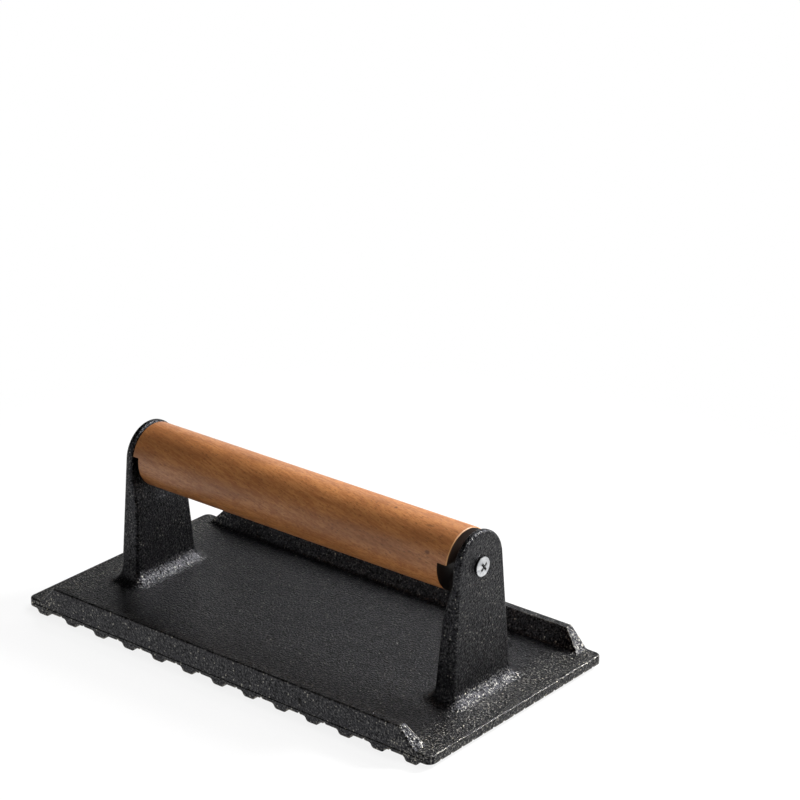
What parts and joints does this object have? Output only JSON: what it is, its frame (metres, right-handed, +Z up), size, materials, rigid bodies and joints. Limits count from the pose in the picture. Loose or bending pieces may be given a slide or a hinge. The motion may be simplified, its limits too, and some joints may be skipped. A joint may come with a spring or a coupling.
{
  "type": "meat press",
  "caption": "Rectangular cast iron press plate with raised long rims, lugged edges and a gridded underside, carried by a round wooden handle held between two cast posts.",
  "frame": {"origin": "centre of the press's footprint, on the surface that its lugs stand on", "axes": "+X along the handle and the plate's long edges, +Y across the plate, +Z up"},
  "size_m": [0.21, 0.107, 0.0711],
  "materials": {
    "cast_iron": "raw seasoned iron with a fine sand-cast grain",
    "beech": "turned steamed beech, satin lacquer",
    "screw_steel": "bright zinc plating"
  },
  "bodies": {
    "root": {"cast_body": "cast_iron", "wood_handle": "beech", "handle_screw_right": "screw_steel", "handle_screw_left": "screw_steel"}
  },
  "joints": []
}
